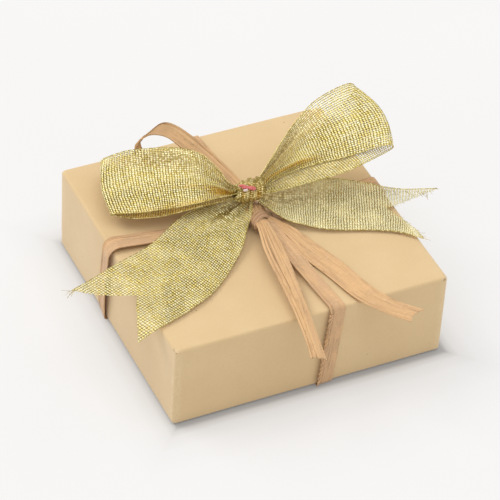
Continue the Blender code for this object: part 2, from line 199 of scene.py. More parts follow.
class Bundle:
    """Collects many thin tubes into one mesh."""

    def __init__(self):
        self.points = []
        self.faces = []
        self.uv = []
        self.count = 0

    def add(self, path, radius, sides):
        rings = tube_points(path, radius, sides)
        rows = len(rings)
        for i in range(rows - 1):
            for j in range(sides):
                k = (j + 1) % sides
                a = self.count + i * sides
                self.faces.append([a + k, a + j, a + sides + j, a + sides + k])
        self.faces.append([self.count + j for j in range(sides)])
        self.faces.append([self.count + (rows - 1) * sides + j for j in reversed(range(sides))])
        self.points.append(rings.reshape(-1, 3))
        turn = np.tile(np.arange(sides) / sides, rows)
        self.uv.append(np.stack([np.repeat(path_run(path), sides) / WEFT_PITCH, turn], axis=-1))
        self.count += rows * sides

    def build(self, name, material, values=None):
        return new_mesh(name, np.vstack(self.points), self.faces, material, np.vstack(self.uv), values)


# ---- materials

class Recipe:
    """Builds one node material."""

    def __init__(self, name):
        self.material = bpy.data.materials.new(name)
        self.material.use_nodes = True
        self.tree = self.material.node_tree

    def feed(self, socket, value):
        """Links a node's output to a socket, or sets the socket's own value or colour."""
        if isinstance(value, bpy.types.NodeSocket):
            self.tree.links.new(value, socket)
        elif socket.type == "RGBA":
            socket.default_value = (*value, 1.0)
        else:
            socket.default_value = value

    def add(self, kind, inputs=(), **settings):
        node = self.tree.nodes.new("ShaderNode" + kind)
        for name, value in settings.items():
            setattr(node, name, value)
        for socket, value in dict(inputs).items():
            self.feed(node.inputs[socket], value)
        return node

    def math(self, operation, a, b=0.0, c=0.0):
        return self.add("Math", {0: a, 1: b, 2: c}, operation=operation).outputs[0]

    def times(self, a, b):
        return self.math("MULTIPLY", a, b)

    def plus(self, a, b):
        return self.math("ADD", a, b)

    def minus(self, a, b):
        return self.math("SUBTRACT", a, b)

    def line(self, value, slope, start):
        return self.math("MULTIPLY_ADD", value, slope, start)

    def vector(self, operation, a, b=(0.0, 0.0, 0.0)):
        return self.add("VectorMath", {0: a, 1: b}, operation=operation).outputs[0]

    def scaled(self, coordinates, factors):
        return self.vector("MULTIPLY", coordinates, factors)

    def parts(self, vector):
        return self.add("SeparateXYZ", {"Vector": vector}).outputs[:]

    def joined(self, x, y, z=0.0):
        return self.add("CombineXYZ", {"X": x, "Y": y, "Z": z}).outputs["Vector"]

    def noise(self, coordinates, scale, detail=3.0, roughness=0.55):
        inputs = {"Vector": coordinates, "Scale": scale, "Detail": detail, "Roughness": roughness}
        return self.add("TexNoise", inputs).outputs["Fac"]

    def random(self, coordinates):
        """A random number and a random colour for each place."""
        return self.add("TexWhiteNoise", {"Vector": coordinates}, noise_dimensions="3D").outputs[:]

    def span(self, value, low, high, to_low=0.0, to_high=1.0, smooth_ends=True):
        inputs = {"Value": value, "From Min": low, "From Max": high, "To Min": to_low, "To Max": to_high}
        kind = "SMOOTHSTEP" if smooth_ends else "LINEAR"
        return self.add("MapRange", inputs, interpolation_type=kind).outputs["Result"]

    def mix(self, share, first, second, blend="MIX"):
        inputs = {0: share, 6: first, 7: second}
        return self.add("Mix", data_type="RGBA", blend_type=blend, inputs=inputs).outputs[2]

    def ramp(self, value, *stops):
        node = self.add("ValToRGB", {"Fac": value})
        elements = node.color_ramp.elements
        while len(elements) < len(stops):
            elements.new(1.0)
        for element, (place, colour) in zip(elements, stops):
            element.position = place
            element.color = (*colour, 1.0)
        return node.outputs["Color"]

    def attribute(self, name):
        return self.add("Attribute", attribute_name=name).outputs["Fac"]

    def uv(self):
        return self.add("UVMap", uv_map="Cloth").outputs["UV"]

    def place(self):
        return self.add("TexCoord").outputs["Object"]

    def bump(self, height, distance, strength, normal=None):
        inputs = {"Height": height, "Distance": distance, "Strength": strength}
        if normal is not None:
            inputs["Normal"] = normal
        return self.add("Bump", inputs).outputs["Normal"]

    def finish(self, **sockets):
        shader = self.tree.nodes["Principled BSDF"]
        for name, value in sockets.items():
            self.feed(shader.inputs[name.replace("_", " ")], value)
        return self.material


def kraft_paper():
    """Uncoated brown paper: soft clouds, fine grain, a few dark specks and rubbed corners."""
    r = Recipe("kraft_paper_fibre")
    at = r.place()
    clouds = r.noise(at, 30.0, 3.0)
    wash = r.noise(at, 95.0, 3.0)
    grain = r.noise(at, 1500.0, 3.0, 0.6)
    fibres = r.noise(r.scaled(at, (2.4, 0.8, 1.6)), 900.0, 2.0)
    tone = r.mix(r.span(clouds, 0.3, 0.7), (0.690, 0.492, 0.258), (0.728, 0.535, 0.292))
    tone = r.mix(r.span(wash, 0.35, 0.65, 0.0, 0.22), tone, (0.655, 0.462, 0.238))
    tone = r.mix(r.span(grain, 0.4, 0.7, 0.0, 0.12), tone, (0.60, 0.41, 0.20))
    tone = r.mix(r.span(fibres, 0.60, 0.74, 0.0, 0.08), tone, (0.82, 0.65, 0.40))
    specks = r.noise(at, 640.0, 1.0)
    rare = r.noise(at, 60.0, 1.0)
    dots = r.times(r.span(specks, 0.77, 0.81), r.span(rare, 0.56, 0.64))
    tone = r.mix(r.times(dots, 0.55), tone, (0.24, 0.15, 0.07))
    side, depth, height = r.parts(r.vector("ABSOLUTE", at))
    corner = r.span(r.plus(side, depth), 2 * HALF - 3 * MM, 2 * HALF - 1 * MM)
    brink = r.times(corner, r.span(height, BRINK_LOW, BRINK_HIGH))
    rub = r.times(brink, r.span(r.noise(at, 800.0, 2.0), 0.50, 0.62))
    tone = r.mix(r.times(rub, 0.7), tone, (0.16, 0.10, 0.06))
    tone = r.mix(r.times(corner, r.span(fibres, 0.35, 0.6, 0.05, 0.3)), tone, (0.84, 0.68, 0.44))
    normal = r.bump(r.plus(r.times(grain, 0.5), fibres), 0.00004, 0.4)
    rough = r.span(grain, 0.3, 0.7, 0.74, 0.9, False)
    return r.finish(
        Base_Color=tone, Roughness=rough, Normal=normal,
        Specular_IOR_Level=0.3, Sheen_Weight=0.35, Sheen_Roughness=0.45,
    )


def chipboard():
    """Grey board pressed from pulp, with pale and dark fibres."""
    r = Recipe("chipboard_pulp")
    at = r.place()
    pulp = r.noise(at, 420.0, 6.0, 0.7)
    strands = r.noise(r.scaled(at, (0.6, 3.2, 1.4)), 600.0, 3.0)
    tone = r.ramp(pulp, (0.25, (0.20, 0.175, 0.14)), (0.5, (0.37, 0.33, 0.27)), (0.75, (0.50, 0.46, 0.39)))
    tone = r.mix(r.span(strands, 0.62, 0.72, 0.0, 0.5), tone, (0.64, 0.60, 0.52))
    tone = r.mix(r.span(r.noise(at, 1100.0, 1.0), 0.70, 0.76, 0.0, 0.7), tone, (0.07, 0.06, 0.06))
    normal = r.bump(r.plus(pulp, strands), 0.0001, 0.7)
    rough = r.span(pulp, 0.3, 0.7, 0.85, 0.97, False)
    return r.finish(Base_Color=tone, Roughness=rough, Normal=normal, Specular_IOR_Level=0.2)


def stay_paper():
    """Gummed brown paper tape with a faint ribbed grain."""
    r = Recipe("stay_tape_paper")
    at = r.place()
    ribs = r.math("SINE", r.times(r.parts(at)[2], 9000.0))
    blotch = r.noise(at, 150.0, 4.0)
    tone = r.mix(r.span(blotch, 0.3, 0.7), (0.50, 0.36, 0.20), (0.64, 0.49, 0.30))
    tone = r.mix(r.span(r.noise(at, 1300.0, 2.0), 0.6, 0.72, 0.0, 0.4), tone, (0.34, 0.23, 0.12))
    normal = r.bump(r.plus(ribs, blotch), 0.00003, 0.5)
    return r.finish(Base_Color=tone, Roughness=r.span(blotch, 0.3, 0.7, 0.55, 0.75), Normal=normal)


def pad_foam():
    """Open-cell foam."""
    r = Recipe("foam_cells")
    at = r.place()
    cells = r.add("TexVoronoi", {"Vector": at, "Scale": 1500.0}).outputs["Distance"]
    tone = r.mix(r.span(cells, 0.1, 0.6), (0.50, 0.47, 0.40), (0.86, 0.83, 0.75))
    tone = r.mix(r.span(r.noise(at, 90.0), 0.3, 0.7, 0.0, 0.3), tone, (0.83, 0.76, 0.58))
    return r.finish(Base_Color=tone, Roughness=0.95, Normal=r.bump(cells, 0.0003, 0.8))


def velvet():
    """Cream velvet: a short brushed pile that catches light at its edges."""
    r = Recipe("cream_velvet_pile")
    at = r.place()
    brushed = r.noise(r.scaled(at, (1.0, 0.35, 1.0)), 60.0, 4.0)
    pile = r.noise(at, 2600.0, 2.0, 0.7)
    tone = r.mix(r.span(brushed, 0.35, 0.65), (0.62, 0.54, 0.41), (0.80, 0.73, 0.60))
    tone = r.mix(r.span(pile, 0.35, 0.65, 0.0, 0.35), tone, (0.52, 0.44, 0.32))
    normal = r.bump(r.plus(pile, brushed), 0.00025, 0.6)
    return r.finish(
        Base_Color=tone, Roughness=r.span(brushed, 0.3, 0.7, 0.8, 1.0), Normal=normal,
        Sheen_Weight=0.8, Sheen_Roughness=0.35, Specular_IOR_Level=0.2,
    )


def raffia(name, light, dark):
    """Paper raffia: fine lengthwise streaks, painted shade in its creases and a faint gloss.

    The cloth coordinates are millimetres along and across the strip.
    """
    r = Recipe(name)
    uv = r.uv()
    streaks = r.noise(r.scaled(uv, (0.05, 4.4, 1.0)), 1.0, 4.0, 0.6)
    lines = r.noise(r.scaled(uv, (0.03, 1.3, 1.0)), 1.0, 2.0)
    patches = r.noise(r.scaled(uv, (0.12, 0.3, 1.0)), 1.0, 2.0)
    cross = r.noise(r.scaled(uv, (1.3, 0.6, 1.0)), 1.0, 3.0)
    tone = r.mix(r.span(streaks, 0.28, 0.60), dark, light)
    tone = r.mix(r.span(patches, 0.4, 0.75, 0.0, 0.55), tone, (0.82, 0.50, 0.22))
    tone = r.mix(r.span(cross, 0.55, 0.72, 0.0, 0.30), tone, (0.86, 0.62, 0.36))
    tone = r.mix(r.span(cross, 0.30, 0.44, 0.24, 0.0), tone, (0.52, 0.30, 0.12))
    thin = r.span(r.math("ABSOLUTE", r.minus(lines, 0.5)), 0.0, 0.015, 1.0, 0.0)
    tone = r.mix(r.times(thin, 0.5), tone, (0.26, 0.13, 0.055))
    # painted shade in creases, beside hems, in pleats and on turned-over undersides, read from the mesh
    painted_crease_shade = r.attribute("fold")
    tone = r.mix(r.times(painted_crease_shade, 0.8), tone, (0.20, 0.095, 0.035))
    height = r.minus(r.plus(streaks, cross), thin)
    normal = r.bump(height, 0.00013, 0.6)
    return r.finish(
        Base_Color=tone, Roughness=r.span(streaks, 0.3, 0.7, 0.46, 0.66), Normal=normal,
        Specular_IOR_Level=0.4, Sheen_Weight=0.12,
    )


def gold_weave(name, open_share=1.0, painted_light_gain=0.0):
    """Open plain weave of flat metallic threads. The cloth coordinates count weft and warp threads.

    Open share is how clear its holes are, and the painted light gain how much brighter its threads are
    painted.
    """
    r = Recipe(name)
    uv = r.uv()
    sway = r.line(r.noise(uv, 0.16, 2.0), 1.0, -0.5)
    shiver = r.line(r.noise(uv, 0.8, 1.0), 0.60, -0.30)
    weft_run, warp_run = r.parts(uv)[:2]
    along = r.plus(r.plus(weft_run, sway), shiver)
    across = r.plus(r.plus(warp_run, r.times(sway, 0.5)), shiver)
    weft_off = r.math("ABSOLUTE", r.line(r.math("FRACT", along), 2.0, -1.0))
    warp_off = r.math("ABSOLUTE", r.line(r.math("FRACT", across), 2.0, -1.0))
    chance, turned_about = r.random(r.joined(r.math("FLOOR", along), r.math("FLOOR", across)))
    sheer = r.attribute("sheer")
    half_width = r.minus(r.line(chance, 0.10, 0.68), r.times(sheer, 0.36))
    weft_there = r.span(r.minus(half_width, weft_off), -0.06, 0.06)
    warp_line = r.minus(r.line(sheer, 0.20, 0.64), warp_off)
    warp_there = r.span(warp_line, -0.06, 0.06, 1.0, 0.0)
    alpha = r.math("MAXIMUM", r.math("MAXIMUM", weft_there, warp_there), 1.0 - open_share)
    # Each weft dash is bright at its crown and dark towards its edges: a painted highlight on each thread and
    # painted shade in the gaps.
    crown = r.span(weft_off, 0.30, 0.92, 1.0, 0.0)
    dash = r.times(crown, r.minus(1.0, r.math("POWER", warp_off, 3.0)))
    patches = r.noise(uv, 0.10, 3.0)
    painted_sparkle = r.times(dash, r.line(chance, 1.05, 0.44))
    painted_sparkle = r.plus(painted_sparkle, r.line(patches, 0.34, painted_light_gain - 0.16))
    # The tone runs from dark olive to pale yellow: painted shade and painted glints in the colour, in place
    # of the metal's reflections.
    tone = r.ramp(
        painted_sparkle, (0.0, (0.28, 0.20, 0.026)), (0.18, (0.72, 0.56, 0.108)),
        (0.40, (1.0, 0.82, 0.285)), (0.68, (1.0, 0.87, 0.395)), (1.0, (1.0, 0.915, 0.56)),
    )
    # Painted shade in the gaps between threads, stronger in some patches.
    painted_gap_shade = r.times(r.minus(1.0, dash), r.span(patches, 0.38, 0.66, 0.70, 0.20))
    tone = r.mix(painted_gap_shade, tone, (0.10, 0.070, 0.012))
    # In the marked spots some cells are painted dark, as threads turned away from the light would look; the
    # spots also tilt the facets more.
    dusk = r.attribute("dusk")
    painted_turned_dark = r.times(dusk, r.span(chance, 0.34, 0.46, 1.0, 0.0))
    tone = r.mix(painted_turned_dark, tone, (0.17, 0.120, 0.020))
    # Painted shade deepens the gold towards orange in folds, pleat hollows and the marked spots.
    deep = r.attribute("fold")
    tone = r.mix(deep, tone, r.mix(1.0, tone, (0.90, 0.60, 0.14), "MULTIPLY"))
    facets = r.vector("SUBTRACT", turned_about, (0.5, 0.5, 0.5))
    reach = r.plus(r.line(chance, 0.26, 0.10), r.times(dusk, 0.3))
    facets = r.scaled(facets, r.joined(reach, reach, reach))
    surface = r.add("NewGeometry").outputs["Normal"]
    tilted = r.vector("NORMALIZE", r.vector("ADD", surface, facets))
    normal = r.bump(dash, 0.00016, 0.8, tilted)
    return r.finish(
        Base_Color=tone, Roughness=r.span(chance, 0.0, 1.0, 0.40, 0.26, False), Normal=normal,
        Alpha=alpha, Metallic=0.42, Specular_IOR_Level=0.08,
    )


def gold_thread():
    """Twisted metallic yarn of the selvedges and the frayed ends."""
    r = Recipe("gold_yarn_twist")
    uv = r.uv()
    run, turn = r.parts(uv)[:2]
    ply = r.math("FRACT", r.plus(run, turn))
    glint = r.random(r.vector("FLOOR", r.scaled(uv, (1.0, 2.0, 1.0))))[0]
    mixed = r.line(ply, 0.5, r.times(glint, 0.5))
    tone = r.ramp(
        mixed, (0.05, (0.20, 0.14, 0.03)), (0.4, (0.56, 0.44, 0.12)), (0.75, (0.88, 0.76, 0.34)),
        (1.0, (1.0, 0.94, 0.60)),
    )
    normal = r.bump(ply, 0.0001, 0.8)
    rough = r.span(glint, 0.0, 1.0, 0.25, 0.45)
    return r.finish(Base_Color=tone, Roughness=rough, Normal=normal, Metallic=0.8)


def dyed_thread():
    """Spun red thread with paler fibres."""
    r = Recipe("red_thread_spun")
    uv = r.uv()
    run, turn = r.parts(uv)[:2]
    ply = r.math("SINE", r.line(run, 9.0, r.times(turn, 2 * math.pi)))
    fuzz = r.noise(r.scaled(uv, (4.0, 5.0, 1.0)), 1.0, 3.0)
    tone = r.mix(r.span(ply, -1.0, 1.0), (0.60, 0.080, 0.075), (0.80, 0.20, 0.165))
    tone = r.mix(r.span(fuzz, 0.5, 0.7, 0.0, 0.5), tone, (0.86, 0.42, 0.42))
    # here the attribute marks the thread's pale end, its own colour
    tone = r.mix(r.attribute("fold"), tone, (0.84, 0.66, 0.62))
    normal = r.bump(r.plus(ply, fuzz), 0.0001, 0.7)
    rough = r.span(fuzz, 0.3, 0.7, 0.6, 0.85)
    return r.finish(Base_Color=tone, Roughness=rough, Normal=normal, Sheen_Weight=0.4)


def plain_floor():
    """A white floor that glows, with a painted soft shadow round the box's footprint, shifted a little to the
    front and right.
    """
    r = Recipe("light_table_acrylic")
    grain = r.noise(r.place(), 8.0, 2.0)
    tone = r.mix(r.span(grain, 0.3, 0.7), (0.325, 0.322, 0.318), (0.335, 0.332, 0.328))
    shade_middle = (1 * MM, -1 * MM, 0.0)
    side, depth = r.parts(r.vector("ABSOLUTE", r.vector("SUBTRACT", r.place(), shade_middle)))[:2]
    gap = r.minus(r.math("MAXIMUM", side, depth), HALF)
    # painted contact shadow: the glow dims near and under the box's footprint
    painted_contact_shadow = r.ramp(
        r.span(gap, -6 * MM, 18 * MM, smooth_ends=False),
        (0.0, (0.22, 0.215, 0.21)), (0.25, (0.24, 0.235, 0.23)), (0.31, (0.62, 0.60, 0.58)),
        (0.40, (0.84, 0.83, 0.82)), (0.60, (0.95, 0.95, 0.95)), (1.0, (1.0, 1.0, 1.0)),
    )
    painted_floor_glow = r.mix(1.0, painted_contact_shadow, (0.915, 0.905, 0.893), "MULTIPLY")
    return r.finish(
        Base_Color=tone, Roughness=0.9, Specular_IOR_Level=0.1, Emission_Color=painted_floor_glow, Emission_Strength=0.60
    )


# ---- camera and light

def place_camera():
    """The photograph's viewing angle, with the small roll of a hand-held camera."""
    back = Vector((
        math.sin(AZIMUTH) * math.cos(ELEVATION),
        -math.cos(AZIMUTH) * math.cos(ELEVATION),
        math.sin(ELEVATION),
    ))
    right = Vector((0, 0, 1)).cross(back).normalized()
    up = back.cross(right)
    turned_right = right * math.cos(ROLL) + up * math.sin(ROLL)
    turned_up = up * math.cos(ROLL) - right * math.sin(ROLL)
    data = bpy.data.cameras.new("camera")
    data.lens = LENS
    data.sensor_width = 36.0
    data.clip_start = 0.05
    data.clip_end = 20.0
    camera = bpy.data.objects.new("camera", data)
    bpy.context.scene.collection.objects.link(camera)
    axes = Matrix((turned_right, turned_up, back)).transposed()
    camera.matrix_world = Matrix.Translation(AIM + back * DISTANCE) @ axes.to_4x4()
    bpy.context.scene.camera = camera


def add_light(name, place, size, power, tint):
    """A square soft box that faces the box."""
    data = bpy.data.lights.new(name, "AREA")
    data.shape = "SQUARE"
    data.size = size
    data.energy = power
    data.color = tint
    lamp = bpy.data.objects.new(name, data)
    bpy.context.scene.collection.objects.link(lamp)
    lamp.location = place
    lid_middle = Vector((0, 0, 0.02))
    lamp.rotation_euler = (lid_middle - Vector(place)).to_track_quat("-Z", "Y").to_euler()


def light_studio():
    """A large key far above and behind to the left, a weak one overhead and a bright even surround."""
    add_light("key", (-2.2, 2.3, 3.6), 2.6, 86.0, (1.0, 0.995, 0.985))
    add_light("overhead", (0.3, -0.6, 3.2), 2.4, 24.0, (1.0, 1.0, 1.0))
    world = bpy.data.worlds.new("studio")
    world.use_nodes = True
    shade = world.node_tree.nodes["Background"]
    shade.inputs["Color"].default_value = (0.985, 0.985, 1.0, 1.0)
    shade.inputs["Strength"].default_value = 0.74
    bpy.context.scene.world = world
    bpy.context.scene.view_settings.view_transform = "Standard"


def lay_floor():
    """A wide plain floor just under the box."""
    half = 4.0
    depth = 0.02 * MM
    corners = [(-half, -half, -depth), (half, -half, -depth), (half, half, -depth), (-half, half, -depth)]
    mesh = bpy.data.meshes.new("floor")
    mesh.from_pydata(corners, [], [(0, 1, 2, 3)])
    mesh.materials.append(plain_floor())
    floor = bpy.data.objects.new("floor", mesh)
    bpy.context.scene.collection.objects.link(floor)


# ---- raffia

def closed_strip(name, points, uv, shade, material):
    """A thin closed body of raffia from a grid, which is its upper face."""
    rows, columns = points.shape[:2]
    low = points - surface_normals(points) * RAFFIA
    count = rows * columns
    faces = list(grid_faces(rows, columns, flip=True)) + list(grid_faces(rows, columns, count))
    for i in range(rows - 1):
        a = i * columns
        b = a + columns - 1
        faces.append([a, a + columns, a + columns + count, a + count])
        faces.append([b + columns, b, b + count, b + columns + count])
    last = (rows - 1) * columns
    for j in range(columns - 1):
        faces.append([j + 1, j, j + count, j + 1 + count])
        faces.append([last + j, last + j + 1, last + j + 1 + count, last + j + count])
    # both faces carry the strip's painted shade
    folds = {"fold": np.stack([shade, shade])}
    return new_mesh(name, np.stack([points, low]), faces, material, np.stack([uv, uv]), folds)


def raffia_grid(centre, sides, widths, creases, seed, curl=0.0, arch=0.0, tilt=0.0, hem=0.0):
    """A raffia strip: a grid of points with lengthwise creases, its cloth coordinates and the painted shade
    of its creases and hem.

    Each crease is (place across at the start, place at the end, width, depth in millimetres, share of the
    length by which it fades). Curl raises the strip's middle, arch adds to that at its start, and tilt
    raises its second edge, in millimetres. Hem is how far across its first edge is folded over.
    """
    t = np.linspace(0, 1, 45)[None, :]
    points = centre[:, None, :] + unit(sides)[:, None, :] * (widths[:, None] * (t - 0.5))[:, :, None]
    normals = surface_normals(points)
    run = run_along(points) / MM
    share = (run / run[-1])[:, None]
    depth = np.zeros(points.shape[:2])
    shade = np.zeros(points.shape[:2])
    for number, (start, end, width, deep, until) in enumerate(creases):
        place = start + (end - start) * share + wander(run, seed + number, 0.06, 0.03)[:, None]
        strength = 0.8 + 0.4 * wander(run, seed + number + 20, 0.12, 1.0)[:, None]
        strength = strength * (1 - fade(share, until * 0.5, until))
        groove = bell(t, place, width)
        shoulder = bell(t, place - 2.0 * width, width) + bell(t, place + 2.0 * width, width)
        depth += deep * MM * strength * (0.35 * shoulder - groove)
        # painted shade in each crease's groove
        shade += np.clip(groove * strength, 0, 1) * min(abs(deep) / 0.30, 1.0)
    if hem:
        line = hem + wander(run, seed + 40, 0.05, 0.02)[:, None]
        depth += 0.32 * MM * (1 - fade(t, line - 0.02, line + 0.02))
        # painted shade in a line beside the folded-over hem
        shade += 0.9 * bell(t, line + 0.03, 0.022)
    rise = curl + arch * (1 - fade(share, 0.02, 0.16))
    depth += rise * MM * (1 - (2 * t - 1) ** 2) + tilt * MM * (2 * t - 1)
    depth += wander(run, seed + 9, 0.16, 0.14 * MM)[:, None] * (2 * t - 1)
    points = points + normals * depth[:, :, None]
    points = points + surface_normals(points) * (RAFFIA / 2)
    uv = np.stack(np.broadcast_arrays(run[:, None] + seed * 40, t * RAFFIA_WIDTH / MM + seed * 3), axis=-1)
    return points, uv, np.clip(shade, 0, 1)


def raffia_strip(centre, sides, widths, creases, seed, **shape):
    """A free strip of raffia through given points, with its middle line."""
    line = smooth(mm(centre), 12)
    width = smooth(mm(widths)[:, None], 12)[:, 0]
    return *raffia_grid(line, smooth(sides, 12), width, creases, seed, **shape), line


def cut_end(points, seed, slant, hollow, ragged):
    """Moves the last rows so that the cut end slants, curves inwards and is a little ragged."""
    t = np.linspace(0, 1, points.shape[1])
    shift = slant * (t - 0.5) - hollow * (1 - (2 * t - 1) ** 2)
    shift = (shift + wander(t * 14, seed, 1.0, ragged) + wander(t * 40, seed + 3, 1.0, ragged * 0.5)) * MM
    along = unit(points[-1] - points[-2])
    rows = 7
    for back in range(rows):
        points[-1 - back] += along * (shift * (1 - back / rows))[:, None]
    return points


TAIL_FRONT = (
    [(0.9, -2.6, 33.2), (0.9, -5.6, 33.7), (0.2, -10, 34.0), (-1.1, -18, 34.0), (-2.4, -29.5, 33.3)]
    + [(-4.0, -42, 32.4), (-5.4, -52.5, 30.8), (-6.5, -61.3, 28.2)]
)
TAIL_RIGHT = (
    [(2.6, -1.8, 33.2), (4.8, -4.9, 32.5), (7.5, -9.6, 31.5), (10.1, -17.9, 31.0), (13.8, -29.3, 31.05)]
    + [(17.2, -42.6, 31.3), (22.3, -51.1, 30.7), (28.4, -57.0, 30.0)]
)
LOOP = (
    [(2.0, 4.0, 35.0), (1.0, 9.5, 34.6), (0.0, 14, 35.2), (-2.2, 20, 36.6), (-5.6, 25.5, 39.4)]
    + [(-9.4, 29.4, 42.6), (-13.0, 32.8, 45.2), (-16.2, 35.4, 45.3), (-19.2, 37.0, 42.8)]
    + [(-22.4, 37.4, 39.6), (-21.4, 34.6, 35.2), (-16.4, 26, 32.8), (-8.4, 12.4, 31.9), (-2.0, 5.0, 31.8)]
)


def hang_raffia(node, points, uv, shade, line, far_end, material):
    """Builds a free strip and hides the part it stands for."""
    piece = closed_strip(f"{node}_strip", points, uv, shade, material)
    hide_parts(node)


def make_raffia_tails(material):
    """The two cut tails in front of the knot."""
    creases = [
        (0.30, 0.46, 0.030, 0.34, 0.60), (0.55, 0.62, 0.026, 0.26, 0.45), (0.78, 0.86, 0.028, 0.22, 0.40),
        (0.42, 0.40, 0.018, 0.22, 1.60), (0.66, 0.74, 0.016, 0.14, 1.10),
    ]
    sides = [(1.0, 0.15, 0.0)] * len(TAIL_FRONT)
    widths = (3.4, 4.2, 5.0, 6.4, 6.0, 4.9, 4.5, 4.9)
    points, *rest = raffia_strip(TAIL_FRONT, sides, widths, creases, 1, curl=0.3, arch=0.5, hem=0.13)
    hang_raffia("raffia_tail_front", cut_end(points, 5, 2.4, 0.3, 0.35), *rest, "bare", material)
    creases = [
        (0.30, 0.20, 0.022, 0.26, 0.30), (0.60, 0.55, 0.020, 0.22, 0.26), (0.80, 0.86, 0.018, 0.16, 0.36),
        (0.10, 0.08, 0.014, 0.16, 1.60), (0.45, 0.52, 0.012, 0.07, 0.90),
    ]
    sides = (
        [(1, 0.1, 0), (1, 0.15, 0), (1, 0.25, 0), (1, 0.3, 0.05), (0.95, 0.35, 0.1)]
        + [(0.85, 0.5, 0.1), (0.76, 0.64, 0), (0.8, 0.6, 0)]
    )
    widths = (3.4, 4.6, 6.2, 7.2, 7.2, 7.0, 6.8, 6.8)
    points, *rest = raffia_strip(TAIL_RIGHT, sides, widths, creases, 2, curl=0.15, arch=0.2)
    hang_raffia("raffia_tail_right", cut_end(points, 8, 0.9, 1.1, 0.2), *rest, "bare", material)


def make_raffia_loop(material):
    """The single bow loop behind the ribbon, pinched where it turns over."""
    sides = (
        [(1, 0.2, 0), (1, 0.3, 0), (1, 0.4, 0), (0.9, 0.5, 0), (0.85, 0.55, 0)]
        + [(0.8, 0.6, 0.1), (0.75, 0.65, 0.15), (0.75, 0.55, 0.45), (0.7, 0.2, 0.8)]
        + [(0.9, 0.1, 0.4), (0.85, 0.5, 0.1), (0.85, 0.5, 0), (0.8, 0.55, 0), (0.75, 0.65, 0)]
    )
    widths = (2.4, 4.0, 5.0, 6.0, 6.4, 6.4, 5.8, 4.6, 1.7, 2.0, 4.2, 6.0, 5.2, 3.6)
    creases = [
        (0.20, 0.16, 0.018, 0.22, 0.50), (0.40, 0.42, 0.014, 0.14, 0.48), (0.66, 0.60, 0.014, 0.16, 0.46),
        (0.90, 0.88, 0.016, 0.22, 1.60),
    ]
    points, uv, shade, line = raffia_strip(LOOP, sides, widths, creases, 3, curl=0.25)
    share = np.linspace(0, 1, len(points))[:, None]
    # painted shade where the loop turns over and shows its underside
    painted_underside_shade = fade(share, 0.42, 0.50) * (1 - fade(share, 0.58, 0.62))
    shade = np.maximum(shade, 0.42 * painted_underside_shade)
    hang_raffia("raffia_loop", points, uv, shade, line, "object", material)


def strap_centre(outward, at_knot, at_edge, at_rim, start, stand, bend, lift):
    """The route of a strap: out over the lid, round its edge, down, and up inside the rim.

    Start is its first distance from the knot, stand how far its middle stands off the lid at the edge, bend
    its radius there, and lift how much higher it leaves the knot. All are in millimetres.
    """
    start, stand, bend, lift = mm((start, stand, bend, lift))
    near = STRAP_GAP + RAFFIA / 2
    corner = HALF + stand - bend
    drop = TOP + stand - bend
    profile = []
    for share in np.linspace(0, 1, 26):
        reach = start + share * (corner - start)
        height = TOP + near + (stand - near) * share**3 + lift * (1 - share) ** 1.2
        profile.append((reach, height, at_knot + share * (at_edge - at_knot)))
    for angle in np.radians(np.linspace(0, 90, 13))[1:]:
        profile.append((corner + bend * math.sin(angle), drop + bend * math.cos(angle), at_edge))
    for share in np.linspace(0, 1, 22)[1:]:
        off = stand + (near - stand) * share**4
        profile.append((HALF + off, drop + share * (RIM - drop), at_edge + share * (at_rim - at_edge)))
    for angle in np.radians(np.linspace(0, 90, 5))[1:]:
        profile.append((HALF + near * math.cos(angle), RIM - near * math.sin(angle), at_rim))
    for angle in np.radians(np.linspace(90, 180, 5)):
        profile.append((FOLD_IN + near * math.cos(angle), RIM - near * math.sin(angle), at_rim))
    for share in np.linspace(0, 1, 6)[1:]:
        profile.append((FOLD_IN - near, RIM + share * TURN_IN * 0.8, at_rim))
    outward = np.array(outward, float)
    sideways = np.array((abs(outward[1]), abs(outward[0]), 0.0))
    up = np.array((0.0, 0.0, 1.0))
    line = [outward * reach + sideways * side * MM + up * height for reach, height, side in profile]
    return np.array(line), np.tile(sideways, (len(line), 1))


